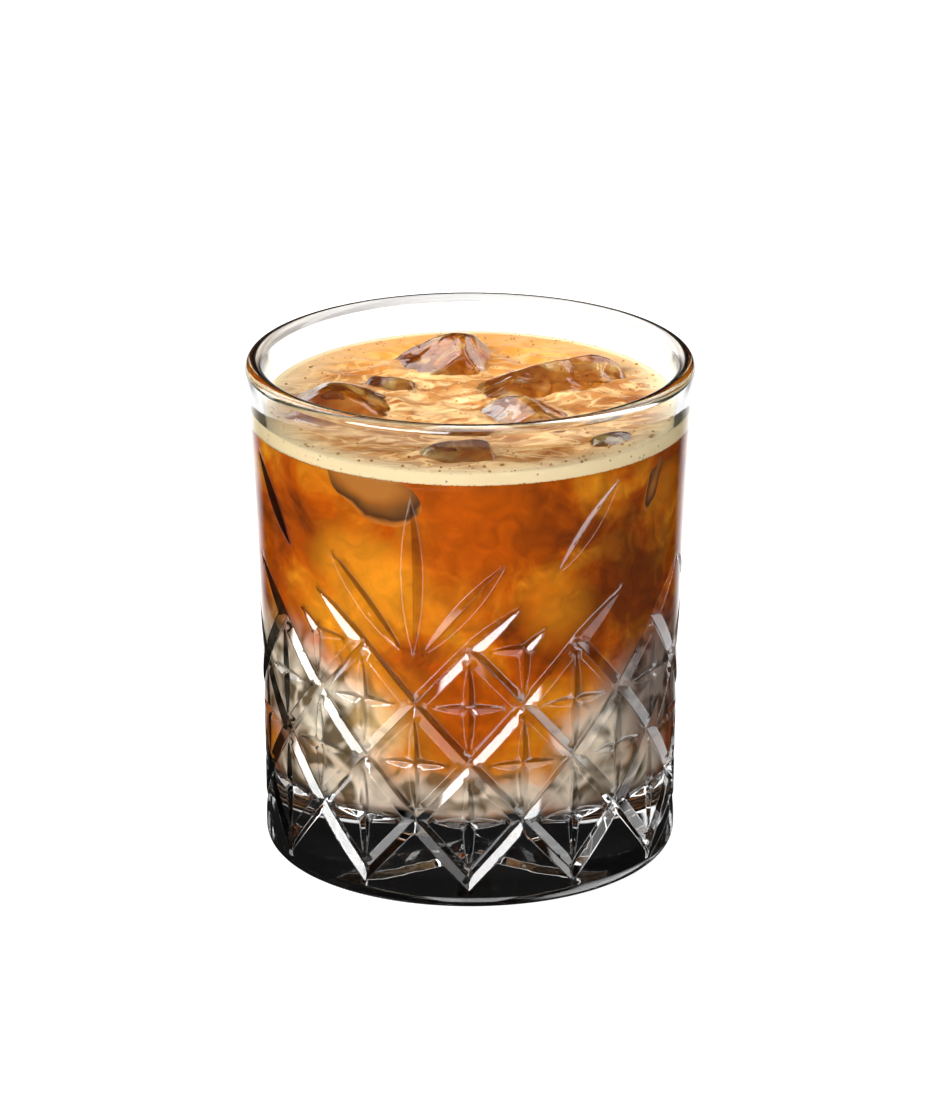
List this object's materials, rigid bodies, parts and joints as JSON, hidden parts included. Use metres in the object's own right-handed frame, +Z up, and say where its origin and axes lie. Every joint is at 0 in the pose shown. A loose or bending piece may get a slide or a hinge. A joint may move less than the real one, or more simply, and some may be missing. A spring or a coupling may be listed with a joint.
{
  "type": "iced coffee in a cut-glass tumbler",
  "caption": "Iced coffee with foam and melting ice in a heavy clear tumbler, its wall cut with a diamond lattice, small crosses and a fan of leaves.",
  "frame": {"origin": "middle of the foot, on the surface that it stands on", "axes": "+Z up the tumbler, -Y towards the front of the drink, +X to its right"},
  "size_m": [0.086, 0.086, 0.0978],
  "materials": {
    "glass": "clear polished glass with pressed facets",
    "coffee": "cloudy orange brown drink with cream swirls",
    "foam": "tan foam with fine bubbles and brown streaks",
    "ice": "clear wet ice tinted by the coffee"
  },
  "bodies": {
    "root": {"glass": "glass", "coffee": "coffee", "foam": "foam", "ice_1": "ice", "ice_2": "ice", "ice_3": "ice", "ice_4": "ice", "ice_5": "ice", "ice_6": "ice", "ice_7": "ice"}
  },
  "joints": []
}
